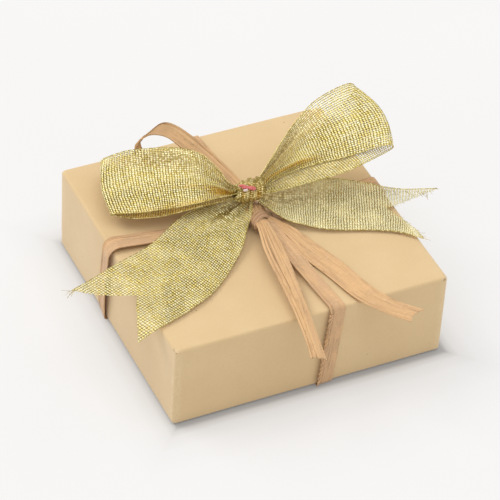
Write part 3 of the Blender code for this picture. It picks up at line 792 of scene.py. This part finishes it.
def make_straps(material):
    """Four stretches of raffia from the knot over the lid's edges, the front one with a twisted edge."""
    # what strap_centre asks for, then width (mm), tilt (mm), hem and creases
    routes = {
        "left": (
            ((-1, 0, 0), 1.2, 5.4, 9.2, 1.4, 1.3, 3.5, 0), 6.4, 0.5, 0.0,
            [(0.07, 0.07, 0.030, 0.26, 1.6), (0.22, 0.20, 0.026, 0.24, 1.6), (0.62, 0.66, 0.02, 0.05, 1.6)],
        ),
        "right": (
            ((1, 0, 0), 0.6, 2.4, 1.0, 7.2, 0.6, 2.0, 0), 6.4, 0.0, 0.0,
            [(0.2, 0.24, 0.014, 0.10, 1.6), (0.55, 0.5, 0.012, 0.08, 1.6), (0.86, 0.82, 0.014, 0.12, 1.6)],
        ),
        "front": (
            ((0, -1, 0), 2.6, 7.5, 5.1, 5.2, 0.47, 1.5, 2.5), 5.2, -0.12, 0.12,
            [(0.26, 0.22, 0.012, 0.10, 1.6), (0.60, 0.55, 0.012, 0.05, 1.6)],
        ),
        "back": (
            ((0, 1, 0), 2.6, -1.5, -2.6, 4.6, 0.6, 2.0, 0), 6.4, 0.0, 0.0,
            [(0.2, 0.2, 0.014, 0.10, 1.6), (0.45, 0.5, 0.012, 0.08, 1.6), (0.85, 0.88, 0.014, 0.10, 1.6)],
        ),
    }
    for seed, (place, (route, width, tilt, hem, creases)) in enumerate(routes.items()):
        line, sides = strap_centre(*route)
        widths = np.full(len(line), width * MM)
        if place in ("left", "back"):
            sides = -sides
        points, uv, shade = raffia_grid(line, sides, widths, creases, seed + 30, tilt=tilt, hem=hem)
        strap = closed_strip(f"raffia_strap_{place}_strip", points, uv, shade, material)
        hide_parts(f"raffia_strap_{place}")
        if place == "front":
            make_twisted_edge(points[:, 0], material)


def make_twisted_edge(edge, material):
    """The front strap's near edge below the lid's top, rolled into two strands twisted round each other."""
    wall = edge[(edge[:, 1] < -HALF) & (edge[:, 2] < TOP - 1.0 * MM) & (edge[:, 2] > RIM)]
    path = smooth(wall[::4], 16) + mm((0.1, -0.25, 0.0))
    run = path_run(path)
    bundle = Bundle()
    for strand in range(2):
        turn = run / TWIST_PITCH * 2 * math.pi + strand * math.pi + wander(run / MM, 50, 0.2, 1.2)
        across = np.cos(turn)[:, None] * np.array((1.0, 0.0, 0.0))
        outward = np.sin(turn)[:, None] * np.array((0.0, -0.6, 0.0))
        bundle.add(path + (across + outward) * 0.36 * MM, 0.34 * MM, 8)
    bundle.build("raffia_strap_front_twist", material)


def band_round(centre, axis, radii, width, seed, belly):
    """A grid for a strip wound once round an axis from below, with lengthwise pleats and a raised middle."""
    axis = unit(np.array(axis, float))
    down = np.array((0.0, 0.0, -1.0))
    first = unit(down - axis * np.dot(down, axis))
    second = np.cross(axis, first)
    angles = np.linspace(0, 2 * math.pi, 56)[:, None]
    t = np.linspace(0, 1, 17)[None, :]
    pleats = 0.10 * np.sin(t * 19.0 + seed) + 0.06 * np.sin(t * 43.0 + seed * 3)
    grow = 1.0 + 0.08 * np.sin(angles * 2 + seed) + pleats * (1 + 0.3 * np.sin(angles * 3))
    grow = grow + belly * (1 - (2 * t - 1) ** 2)
    ring = np.cos(angles) * first * radii[0] + np.sin(angles) * second * radii[1]
    lean = 0.35 * np.sin(angles + seed) * width
    points = centre + ring[:, None, :] * grow[:, :, None] + axis * ((t - 0.5) * width + lean)[:, :, None]
    run = run_along(points)[:, None] / MM
    uv = np.stack(np.broadcast_arrays(run + seed * 17, t * RAFFIA_WIDTH / MM), axis=-1)
    # painted shade in the pleats' hollows
    shade = np.broadcast_to(0.45 * np.clip(0.5 - 3.5 * pleats, 0, 1), points.shape[:2])
    return points, uv, shade


def make_raffia_knots(plain, shaded):
    """The tie on top of the lid, wound from two turns, and the collar that gathers the tails."""
    tie, tie_half = box_middle("raffia_knot", (-1.0, 0.9, 0.0))
    tails, tails_half = box_middle("raffia_knot_wrap", (-1.6, 0.1, 0.1))
    round_tie = tie_half[[2, 1]]
    round_tails = tails_half[[2, 0]]
    # piece, middle, axis, two radii, width, seed, belly, material
    turns = (
        ("knot_turn", tie, (1, 0.2, 0), round_tie * 0.92, tie_half[0] * 1.5, 1, 0.18, plain),
        ("knot_cross_turn", tie, (0.3, 1, 0.1), round_tie * (0.78, 0.8), tie_half[1] * 1.5, 2, 0.15, plain),
        ("collar_turn", tails, (-0.15, 1, 0.25), round_tails * (1.12, 0.98), 3.4 * MM, 4, 0.10, shaded),
    )
    for name, *band, look in turns:
        closed_strip(f"raffia_{name}", *band_round(*band), look)
    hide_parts("raffia_knot")
    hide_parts("raffia_knot_wrap")


# ---- gold ribbon

LOOP_LEFT = (
    [(-1.6, 5.4, 40.4), (-4.6, 6.8, 41.2), (-5.6, 12.6, 42.8), (-8.4, 21.4, 43.5), (-15.4, 28.3, 43.0)]
    + [(-26.5, 33.8, 41.2), (-33.6, 35.4, 39.0), (-35.4, 35.4, 37.4), (-33.8, 34.6, 36.2)]
    + [(-25.0, 31.0, 35.6), (-14.5, 24.5, 36.2), (-7.5, 14.5, 37.4), (-4.6, 6.6, 38.6), (-1.6, 5.0, 39.0)],
    [(-1.6, 3.6, 39.8), (-4.6, 3.4, 39.8), (-7.6, 4.6, 38.9), (-13.0, 6.0, 38.0), (-22.2, 7.6, 37.2)]
    + [(-32.4, 9.8, 36.6), (-39.8, 12.8, 36.0), (-41.3, 13.8, 35.0), (-40.2, 14.2, 34.0)]
    + [(-34.4, 9.9, 34.3), (-24.4, 7.1, 34.9), (-12.6, 5.6, 36.4), (-4.8, 4.4, 38.0), (-1.6, 3.8, 38.6)],
)
LOOP_RIGHT = (
    [(1.8, 5.6, 40.4), (5.2, 6.8, 41.4), (9.8, 10.0, 43.4), (18.1, 16.2, 47.0), (24.9, 20.2, 50.0)]
    + [(31.0, 22.0, 53.2), (39.6, 21.8, 56.6), (43.4, 21.2, 56.6), (42.4, 20.2, 53.4)]
    + [(35.0, 18.0, 48.6), (25.0, 14.4, 44.4), (14.0, 10.0, 41.0), (5.4, 6.6, 38.8), (1.8, 5.2, 38.8)],
    [(1.8, 3.0, 40.0), (5.2, 2.8, 40.6), (9.8, 4.4, 41.6), (18.1, 5.0, 42.5), (25.0, 3.6, 43.7)]
    + [(32.0, 1.7, 45.2), (42.6, -0.8, 48.2), (46.2, -1.4, 47.8), (45.6, -0.9, 45.8)]
    + [(38.3, -2.9, 45.6), (29.1, -3.2, 43.7), (16.0, -0.3, 40.8), (5.4, 2.2, 38.6), (1.8, 3.2, 38.4)],
)
TAIL_LEFT = (
    [(-1.2, 3.8, 38.0), (-3.9, 5.8, 36.6), (-9.4, 7.3, 34.8), (-19.0, 7.7, 33.4), (-34.6, -1.2, 33.2)]
    + [(-46.0, -5.1, 33.2), (-57.5, -9.4, 33.4), (-64.1, -11.4, 33.0)],
    [(0.4, 2.2, 38.0), (-0.4, -0.6, 36.2), (-3.4, -4.6, 33.9), (-10.2, -13.6, 31.9), (-23.4, -25.2, 31.0)]
    + [(-34.2, -30.6, 31.0), (-44.6, -34.0, 31.0), (-53.4, -36.4, 29.4)],
)
TAIL_GOLD_RIGHT = (
    [(2.4, 4.6, 38.0), (6.2, 5.6, 36.9), (11.2, 6.8, 35.8), (19.2, 6.4, 35.4), (29.1, 5.2, 34.8)]
    + [(40.0, 1.4, 32.6), (49.4, -3.2, 31.3), (61.3, -6.4, 30.4)],
    [(2.6, 1.4, 37.6), (4.6, -2.2, 35.2), (8.4, -6.2, 33.4), (13.2, -9.0, 32.3), (20.5, -13.0, 31.2)]
    + [(32.0, -17.5, 31.0), (39.6, -21.5, 31.0), (45.6, -27.4, 31.0)],
)
NOTCH_REACH = 0.3              # share of a tail over which its V cut shortens the rows
TURN_SPREAD = 0.14             # share of a loop over which its far turn bows out


def soft_spots(share, t, spots):
    """The sum of soft spots, each given as (share of the length, place across, two widths, amount)."""
    total = np.zeros(share.shape)
    for along, place, long, wide, amount in spots:
        total += amount * bell(share, along, long) * bell(t, place, wide)
    return total


def ribbon_grid(
    edges, steps, across, folds, gather, dusks, seed, notch=0.0, swell=(0.0, 0.0, 0.0), sheers=(), tints=(),
):
    """A ribbon between two edge curves: points, thread counts, and its painted shade, sheer spots and painted
    dark threads.

    A fold is (place across at the knot, place across where it ends, share of the length where it ends,
    width, depth in millimetres, how much painted shade deepens its gold in the groove). Gather is the depth
    of the small pleats at the start and at the end, in millimetres, whose hollows get a little painted shade.
    In a painted dark spot single threads are painted dark as if turned away from the light, in a sheer one
    threads are missing or spread, and in a painted shade spot the gold is painted deeper, as shade.
    """
    first = smooth(mm(edges[0]), steps)
    second = smooth(mm(edges[1]), steps)
    last = len(first) - 1
    t = np.linspace(0, 1, across + 1)[None, :]
    rows = np.arange(last + 1, dtype=float)[:, None]
    uncut = (1 - NOTCH_REACH) * last
    cut = notch / NOTCH_REACH * (1 - np.abs(2 * t - 1))
    reach = rows - np.maximum(rows - uncut, 0) * cut
    k = np.minimum(reach.astype(int), last - 1)
    part = (reach - k)[:, :, None]
    near = first[k] * (1 - part) + first[k + 1] * part
    far = second[k] * (1 - part) + second[k + 1] * part
    base = near * (1 - t[:, :, None]) + far * t[:, :, None]
    share = reach / last
    turn = bell(share, 0.5, TURN_SPREAD) * np.sin(math.pi * t)
    base = base + turn[:, :, None] * mm(swell)
    normals = surface_normals(base)
    height = np.zeros(share.shape)
    deep = soft_spots(share, t, tints)
    for at_knot, at_end, end, width, depth, gold in folds:
        fading = 1 - fade(share, end * 0.6, end)
        place = at_knot + (at_end - at_knot) * share / end
        open_width = width * (0.45 + 0.75 * share / end)
        groove = bell(t, place, open_width)
        banks = bell(t, place - 2.2 * width, 1.4 * width) + bell(t, place + 2.2 * width, 1.4 * width)
        height += depth * MM * fading * (0.4 * banks - groove)
        # painted shade: the gold is painted deeper in each fold's groove
        deep += gold * fading * bell(t, place, open_width * 1.1)
    width = np.linalg.norm(far - near, axis=2)
    spare = np.sqrt(np.clip(1 - (width / GOLD_WIDTH) ** 2, 0, 1))
    waves = np.sin(t * 40 + seed) * 0.75 + np.sin(t * 63 + seed * 2.3) * 0.25
    broad = np.sin(t * 17 + seed * 1.7 + share * 3)
    rising = 1 - fade(share, 0.02, 0.20)
    falling = fade(share, 0.82, 0.98)
    height += spare * (gather[0] * rising + gather[1] * falling) * MM * waves
    height += spare * 0.8 * MM * broad * (fade(share, 0.02, 0.12) * (1 - fade(share, 0.2, 0.42)))
    ripple = roughen(base, 55.0, 1.0, seed) * 0.5 + roughen(base, 160.0, 1.0, seed + 4) * 0.16
    height += ripple * 1.1 * MM * fade(share, 0.05, 0.3)
    # painted shade in the gather's hollows
    deep += np.clip(-waves, 0, 1) * 0.2 * (np.sign(gather[0]) * rising + np.sign(gather[1]) * falling)
    dusk = soft_spots(share, t, dusks) + 0.1 * rising
    values = {"fold": deep, "sheer": soft_spots(share, t, sheers), "dusk": dusk}
    points = base + normals * height[:, :, None]
    middle = run_along(np.stack([first, second], axis=1)) / WEFT_PITCH
    along = np.interp(reach, np.arange(last + 1), middle)
    threads = np.broadcast_to(t * GOLD_WIDTH / WARP_PITCH, along.shape)
    uv = np.stack([along + seed * 60, threads], axis=-1)
    return points, uv, {label: np.clip(amount, 0, 1) for label, amount in values.items()}


def selvedges(points, bundle, seed):
    """A thicker yarn along each long edge of a ribbon."""
    normals = surface_normals(points)
    for column, inner in ((0, 1), (-1, -2)):
        edge = points[:, column]
        inward = unit(points[:, inner] - edge)
        weave = 0.06 * MM * np.sin(np.arange(len(edge)) * 2.1 + seed)
        bundle.add(edge + inward * 0.10 * MM + normals[:, column] * weave[:, None], 0.15 * MM, 6)


def loose_end(bundle, start, heading, reach, bend, radius):
    """A thin yarn that sticks out and curves away from its heading."""
    s = np.linspace(0, 1, 6)[:, None]
    bundle.add(start + heading * reach * s + bend * reach * s**2, radius, 4)


def fringe(points, bundle, seed, count, low, high, length):
    """Loose yarn ends along part of a cut end, of up to a length in millimetres."""
    generator = np.random.default_rng(seed)
    columns = points.shape[1] - 1
    for place in np.linspace(low, high, count):
        at = place * columns
        j = min(int(at), columns - 1)
        part = at - j
        tip = points[-1, j] * (1 - part) + points[-1, j + 1] * part
        root = points[-4, j] * (1 - part) + points[-4, j + 1] * part
        heading = unit(tip - root)
        reach = length * MM * generator.uniform(0.3, 1.0)
        bend = generator.normal(0, 0.28, 3) + np.array((0, 0, -0.12))
        loose_end(bundle, tip - heading * 0.4 * MM, heading, reach, bend, 0.055 * MM)


def edge_fringe(points, bundle, seed, count, start, column_share, heading, length):
    """Weft ends that hang from a ribbon's tip where its warp yarns have slipped out."""
    generator = np.random.default_rng(seed)
    rows, columns = points.shape[:2]
    column = points[:, int(column_share * (columns - 1))]
    for place in np.linspace(start, 0.995, count):
        root = column[int(place * (rows - 1))]
        lean = np.array(heading) + generator.normal(0, 0.14, 3)
        reach = length * MM * generator.uniform(0.5, 1.0)
        loose_end(bundle, root, unit(lean), reach, generator.normal(0, 0.15, 3), 0.07 * MM)


def make_ribbon(name, edges, material, yarn, held, fringes=(), **shape):
    """One stretch of ribbon with its selvedge yarns."""
    points, uv, values = ribbon_grid(edges, **shape)
    faces = grid_faces(*points.shape[:2])
    ribbon = new_mesh(f"gold_ribbon_{name}", points, faces, material, uv, values)
    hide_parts(f"gold_{name}")
    bundle = Bundle()
    selvedges(points, bundle, len(ribbon.name))
    for make, *settings in fringes:
        make(points, bundle, *settings)
    yarns = bundle.build(f"gold_ribbon_{name}_yarns", yarn)


def make_bow(material, painted_bright_weave, yarn):
    """Both loops and both tails of the gold ribbon."""
    folds = [
        (0.84, 0.76, 0.26, 0.070, 1.5, 1.0), (0.80, 0.62, 0.40, 0.030, 0.4, 0.35),
        (0.30, 0.22, 0.16, 0.060, 0.7, 0.2), (0.55, 0.50, 0.14, 0.050, 0.6, 0.2),
        (0.95, 1.00, 0.44, 0.060, 0.2, 0.45),
    ]
    make_ribbon(
        "loop_left", LOOP_LEFT, material, yarn, "folded", steps=12, across=56, folds=folds, gather=(0.6, 0.6),
        dusks=[(0.30, 0.15, 0.10, 0.25, 0.5), (0.13, 0.80, 0.06, 0.15, 0.3)], seed=1.0,
        swell=(-1.7, 0.0, 0.3), tints=[(0.76, 1.0, 0.22, 0.22, 0.75)],
    )
    folds = [
        (0.80, 0.90, 0.36, 0.040, 1.3, 0.8), (0.45, 0.30, 0.36, 0.060, 1.0, 0.25),
        (0.25, 0.16, 0.32, 0.050, 0.8, 0.25), (0.62, 0.60, 0.26, 0.050, 0.7, 0.2),
    ]
    make_ribbon(
        "loop_right", LOOP_RIGHT, material, yarn, "folded", steps=12, across=64, folds=folds,
        gather=(0.85, 0.85), dusks=[(0.20, 0.15, 0.14, 0.25, 0.6)], seed=2.0, swell=(3.0, -1.4, 1.2),
        sheers=[(0.36, 0.08, 0.07, 0.14, 0.8), (0.64, 0.08, 0.08, 0.16, 0.8), (0.60, 1.0, 0.10, 0.3, 0.8)],
    )
    folds = [
        (0.52, 0.32, 0.42, 0.050, 1.5, 0.4), (0.74, 0.80, 0.24, 0.050, 0.9, 0.3),
        (0.85, 0.88, 0.30, 0.050, 0.6, 0.2),
    ]
    ends = [(fringe, 11, 46, 0.02, 0.98, 0.9), (fringe, 31, 9, 0.0, 0.03, 3.2)]
    make_ribbon(
        "tail_left", TAIL_LEFT, material, yarn, "laid", ends, steps=16, across=56, folds=folds,
        gather=(0.6, 0.0), dusks=[(0.27, 0.40, 0.12, 0.28, 0.7)], seed=3.0, notch=0.2,
        sheers=[(1.0, 0.5, 0.22, 0.8, 0.35)],
    )
    folds = [
        (0.36, 0.22, 0.50, 0.055, 1.2, 0.25), (0.66, 0.60, 0.30, 0.060, 0.9, 0.2),
        (0.15, 0.10, 0.30, 0.040, 0.6, 0.2),
    ]
    ends = [
        (fringe, 21, 46, 0.02, 0.98, 1.2), (fringe, 22, 9, 0.86, 1.0, 4.0),
        (edge_fringe, 23, 26, 0.80, 0.06, (-0.1, -1.0, -0.1), 2.6),
    ]
    make_ribbon(
        "tail_right", TAIL_GOLD_RIGHT, painted_bright_weave, yarn, "laid", ends, steps=16, across=64, folds=folds,
        gather=(0.8, 0.0), dusks=[(0.30, 0.35, 0.24, 0.34, 0.6)], seed=4.0, notch=0.2,
        sheers=[(1.0, 0.0, 0.24, 0.5, 1.0)],
    )


def make_gold_knot(material):
    """The pleated wrap round the bow's waist, thicker to the right, with its ends tucked in."""
    middle, half = box_middle("gold_knot")
    angles = np.linspace(0, 2 * math.pi, 73)[:, None]
    t = np.linspace(0, 1, 49)[None, :]
    place = 2 * t - 1
    tuck = 1 - 0.6 * fade(np.abs(place), 0.66, 1.0) ** 1.5
    pleats = 0.060 * np.sin(t * 24) + 0.035 * np.sin(t * 53 + 1)
    grow = (0.86 + 0.14 * t + 0.06 * np.cos(place * 2.2)) * tuck
    grow = grow * (1 + pleats * (1 + 0.5 * np.sin(angles * 3)))
    lean = 0.14 * np.sin(angles - 0.6)
    x = middle[0] + half[0] * (1.18 * np.clip(place, -0.9, 0.9) + lean)
    y = middle[1] - half[1] * np.cos(angles) * grow
    z = middle[2] + half[2] * np.sin(angles) * grow
    points = np.stack(np.broadcast_arrays(x, y, z), axis=-1)
    points = points + roughen(points, 420.0, 0.30 * MM, 6)[:, :, None] * surface_normals(points)
    points[-1] = points[0]
    weft = run_along(points)[:, None] / WEFT_PITCH * 1.5
    uv = np.stack(np.broadcast_arrays(weft, t * GOLD_WIDTH / WARP_PITCH * 0.7), axis=-1)
    # Painted shade deepens the gold in the pleats' hollows, with random deeper specks and a little all over;
    # the dark-thread mark is 0.6 everywhere.
    specks = np.clip(roughen(points, 800.0, 1.0, 9), 0, 1)
    shade = 0.15 + np.clip(-pleats * 6, 0, 0.5) + 0.6 * specks
    values = {"fold": shade, "dusk": np.full(shade.shape, 0.6)}
    faces = grid_faces(*points.shape[:2])
    knot = new_mesh("gold_ribbon_knot", points, faces, material, uv, values)
    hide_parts("gold_knot")


def make_red_thread(material):
    """A short bit of doubled red thread on the knot, with one pale end."""
    centre, reach = box_middle("gold_knot")
    reach = reach + 0.45 * MM
    # places along the knot (mm), angles up from its front (degrees), radii (mm) and paleness
    strands = (
        ([-3.3, -2.5, -1.6, -0.6, 0.4, 1.3], [84, 80, 74, 66, 60, 54], [0.26, 0.5, 0.42, 0.3, 0.48, 0.3], 0),
        ([-2.7, -1.9, -1, 0, 0.8, 1.5], [70, 67, 62, 55, 50, 50], [0.24, 0.42, 0.34, 0.46, 0.44, 0.26], 0),
        ([-2.6, -2.0, -1.2], [56, 54, 55], [0.30, 0.42, 0.28], 1),
    )
    bundle = Bundle()
    shades = []
    for places, angles, radii, pale in strands:
        angle = np.radians(angles)
        height = centre[2] + reach[2] * np.sin(angle)
        spots = np.stack([mm(places), centre[1] - reach[1] * np.cos(angle), height], axis=-1)
        path = smooth(spots, 8)
        bundle.add(path, smooth(mm(radii)[:, None], 8)[:, 0], 10)
        shades.append(np.full(len(path) * 10, pale))
    thread = bundle.build("red_thread_bit", material, {"fold": np.concatenate(shades)})
    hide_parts("bow_thread")


# ---- box

def square_ring(half, height, radius):
    """Points round a level square with rounded corners, with extra points along its sides."""
    steps = 6
    straight = 22
    ring = []
    for quarter in range(4):
        turn = Matrix.Rotation(math.radians(90 * quarter), 3, "Z")
        centre = Vector((half - radius, half - radius, height))
        for step in range(steps + 1):
            angle = math.radians(90) * step / steps
            outward = Vector((math.cos(angle), math.sin(angle), 0.0)) * radius
            ring.append(list(turn @ (centre + outward)))
        for step in range(1, straight):
            share = step / straight
            ring.append(list(turn @ Vector(((half - radius) * (1 - 2 * share), half, height))))
    return ring


def rounded_edge(half, top, bend, radius, steps):
    """Rings over a top edge rounded to a bend, from the flat top down to the wall."""
    rings = []
    for step in range(steps + 1):
        angle = math.radians(90) * step / steps
        inset = bend * (1 - math.sin(angle))
        drop = bend * (1 - math.cos(angle))
        rings.append(square_ring(half - inset, top - drop, radius))
    return rings


def lid_rings():
    """Rings of the lid's paper, from the middle of its top over the edge and down to its rim."""
    rings = [square_ring(HALF * share, TOP, CORNER_ROUND * share) for share in (0.02, 0.2, 0.45, 0.7, 0.88)]
    rings += rounded_edge(HALF, TOP, TOP_ROUND, CORNER_ROUND, 6)
    edge = TOP - TOP_ROUND
    for share in np.linspace(0, 1, 16)[1:]:
        rings.append(square_ring(HALF, edge - (edge - RIM) * share, CORNER_ROUND))
    return np.array(rings)


def paper_waves(points):
    """Moves the cover's points by the faint waves of a hand-wrapped box, mostly inwards."""
    wave = roughen(points, 26.0, 0.22 * MM, 1) + roughen(points, 190.0, 0.09 * MM, 2)
    near_edge = bell(points[:, :, 2], TOP - 0.2 * MM, 1.2 * MM)
    wave = wave + roughen(points, 520.0, 0.10 * MM, 3) * near_edge
    flat_x = np.abs(points[:, :, :1]) > np.abs(points[:, :, 1:2])
    outward = np.sign(points) * np.where(flat_x, (1.0, 0.0, 0.0), (0.0, 1.0, 0.0))
    upward = fade(points[:, :, 2], TOP - TOP_ROUND, TOP)[:, :, None]
    normals = outward * (1 - upward) + np.array((0, 0, 1.0)) * upward
    held = 0.35 + 0.65 * fade(points[:, :, 2], RIM, RIM + 3 * MM)
    shift = np.where(wave < 0, wave, wave * 0.5) * held
    return points + normals * shift[:, :, None]


def lofted(name, outer, inner_rings, material, body=BODY):
    """A closed shell over rings of points: outer ones from the middle of its top down, then inner ones up."""
    points = np.concatenate([outer, np.array(inner_rings)])
    rings, count = points.shape[:2]
    faces = []
    for i in range(rings - 1):
        for j in range(count):
            k = (j + 1) % count
            faces.append([i * count + j, (i + 1) * count + j, (i + 1) * count + k, i * count + k])
    faces.append(list(range(count)))
    faces.append([(rings - 1) * count + j for j in reversed(range(count))])
    return new_mesh(name, points, faces, material, body=body)


def make_lid_paper(material):
    """The lid's paper cover, folded up behind the rim."""
    fold_top = RIM + TURN_IN
    folded = [
        (FOLD_IN, RIM), (FOLD_IN, fold_top), (FOLD_IN + PAPER, fold_top), (FOLD_IN + PAPER, RIM + PAPER),
    ]
    lining = [
        (HALF - PAPER, RIM + PAPER), (HALF - PAPER, TOP - TOP_ROUND), (HALF - TOP_ROUND, TOP - PAPER * 1.4),
    ]
    inner = [square_ring(*place, CORNER_ROUND / 2) for place in folded]
    inner += [square_ring(*place, CORNER_ROUND - PAPER) for place in lining]
    cover = lofted("lid_paper_cover", paper_waves(lid_rings()), inner, material)
    cover.data.set_sharp_from_angle(angle=math.radians(50))
    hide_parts("lid_wrap")


def make_pad(material):
    """The velvet cover: crowned on top and drawn in a little at its corners."""
    low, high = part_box("pad_velvet")
    half = high.x
    skin = 0.4 * MM
    crown = 0.25 * MM
    bend = 2.4 * MM
    corner = 3 * MM
    wall = half - 0.35 * MM
    rings = []
    for share in (0.02, 0.15, 0.3, 0.45, 0.6, 0.75, 0.88):
        rings.append(square_ring(half * share, high.z + crown * (1 - share**2), corner * share))
    rings += rounded_edge(half - 0.1 * MM, high.z, bend, corner, 7)
    drop = high.z - bend - low.z
    for share in np.linspace(0, 1, 7)[1:]:
        belly = 0.25 * MM * math.sin(math.pi * share)
        rings.append(square_ring(wall + belly, high.z - bend - drop * share, corner))
    outer = np.array(rings)
    outer[:, :, 2] += roughen(outer, 90.0, 0.18 * MM, 12) * fade(outer[:, :, 2], low.z + 4 * MM, high.z)
    inner_rings = [
        square_ring(wall - skin, low.z, corner),
        square_ring(wall - skin, high.z - 2.6 * MM, corner),
        square_ring(half - 2.2 * MM - skin, high.z - skin * 1.5, corner),
    ]
    pad = lofted("velvet_pad_cover", outer, inner_rings, material, "pad")
    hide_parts("pad_velvet")


def finish_cad_nodes(kraft):
    """Gives the CAD nodes of the box that stay shown their detailed materials."""
    looks = {"wrap": kraft, "board": chipboard(), "stay": stay_paper(), "foam": pad_foam()}
    for name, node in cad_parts.items():
        body, part = name.split("_")[:2]
        if body in ("lid", "tray", "pad") and part in looks:
            node.data.materials.clear()
            node.data.materials.append(looks[part])


def main():
    """Builds every visual piece, then the lights and the floor."""
    place_camera()
    strip = raffia("raffia_fibre", (0.75, 0.466, 0.228), (0.54, 0.309, 0.131))
    make_raffia_tails(strip)
    make_raffia_loop(strip)
    # The straps get a darker copy of the raffia: painted shade.
    make_straps(raffia("raffia_fibre_worn", (0.69, 0.430, 0.228), (0.52, 0.308, 0.152)))
    # The collar gets a darker, pinker copy of the raffia: painted shade.
    make_raffia_knots(strip, raffia("raffia_fibre_tight", (0.64, 0.385, 0.215), (0.50, 0.285, 0.14)))
    weave = gold_weave("gold_mesh_weave")
    yarn = gold_thread()
    # The right tail gets a brighter copy of the weave: painted light against the shade the right loop casts
    # on it.
    make_bow(weave, gold_weave("gold_mesh_shiny", 1.0, 0.40), yarn)
    make_gold_knot(gold_weave("gold_mesh_knot", 0.0))
    make_red_thread(dyed_thread())
    kraft = kraft_paper()
    make_lid_paper(kraft)
    make_pad(velvet())
    finish_cad_nodes(kraft)
    light_studio()
    lay_floor()


main()
